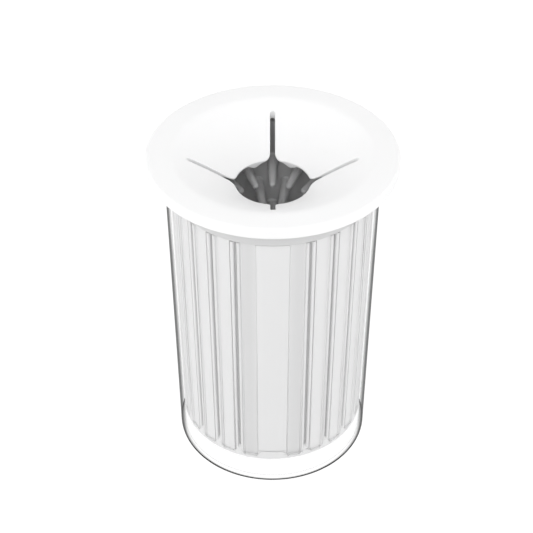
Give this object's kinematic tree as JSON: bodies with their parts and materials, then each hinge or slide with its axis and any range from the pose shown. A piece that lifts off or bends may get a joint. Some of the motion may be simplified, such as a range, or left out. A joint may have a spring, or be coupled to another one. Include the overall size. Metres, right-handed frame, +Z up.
{
  "type": "paw washer cup",
  "caption": "Clear tapered cup holding a fluted white sleeve lined with silicone scrubbing fingers, topped by a funnel-shaped splash collar with flexible petals.",
  "frame": {"origin": "centre of the flat underside of the clear cup", "axes": "+Z up along the cup's axis, the plain front panel of the sleeve faces -Y, +X to the right seen from the front"},
  "size_m": [0.104, 0.104, 0.1484],
  "materials": {
    "clear_plastic": "clear, polished",
    "white_plastic": "satin, moulded",
    "white_silicone": "soft matte",
    "grey_silicone": "soft matte"
  },
  "bodies": {
    "cup": {"outer_cup": "clear_plastic"},
    "sleeve": {"fluted_sleeve": "white_plastic", "hanger_ring": "white_plastic", "bristle_liner": "grey_silicone", "bristle_row_1": "grey_silicone", "bristle_row_2": "grey_silicone", "bristle_row_3": "grey_silicone", "bristle_row_4": "grey_silicone", "bristle_row_5": "grey_silicone", "bristle_row_6": "grey_silicone", "bristle_row_7": "grey_silicone", "bristle_row_8": "grey_silicone"},
    "collar": {"splash_collar": "white_silicone"},
    "petal_back_right": {"petal_back_right": "white_silicone"},
    "petal_back_left": {"petal_back_left": "white_silicone"},
    "petal_front_left": {"petal_front_left": "white_silicone"},
    "petal_front_right": {"petal_front_right": "white_silicone"}
  },
  "joints": [
    {"name": "sleeve_lift", "type": "slide", "parent": "cup", "child": "sleeve", "axis": [0, 0, 1], "range_m": [0, 0.14]},
    {"name": "collar_lift", "type": "slide", "parent": "sleeve", "child": "collar", "axis": [0, 0, 1], "range_m": [0, 0.03]},
    {"name": "petal_back_right_bend", "type": "hinge", "parent": "collar", "child": "petal_back_right", "pos_m": [0.0176, 0.0176, 0.13603], "axis": [0.7071, -0.7071, 0], "range_deg": [-10, 60], "stiffness_Nm_per_rad": 0.006},
    {"name": "petal_back_left_bend", "type": "hinge", "parent": "collar", "child": "petal_back_left", "pos_m": [-0.0176, 0.0176, 0.13603], "axis": [0.7071, 0.7071, 0], "range_deg": [-10, 60], "stiffness_Nm_per_rad": 0.006},
    {"name": "petal_front_left_bend", "type": "hinge", "parent": "collar", "child": "petal_front_left", "pos_m": [-0.0176, -0.0176, 0.13603], "axis": [-0.7071, 0.7071, 0], "range_deg": [-10, 60], "stiffness_Nm_per_rad": 0.006},
    {"name": "petal_front_right_bend", "type": "hinge", "parent": "collar", "child": "petal_front_right", "pos_m": [0.0176, -0.0176, 0.13603], "axis": [-0.7071, -0.7071, 0], "range_deg": [-10, 60], "stiffness_Nm_per_rad": 0.006}
  ]
}
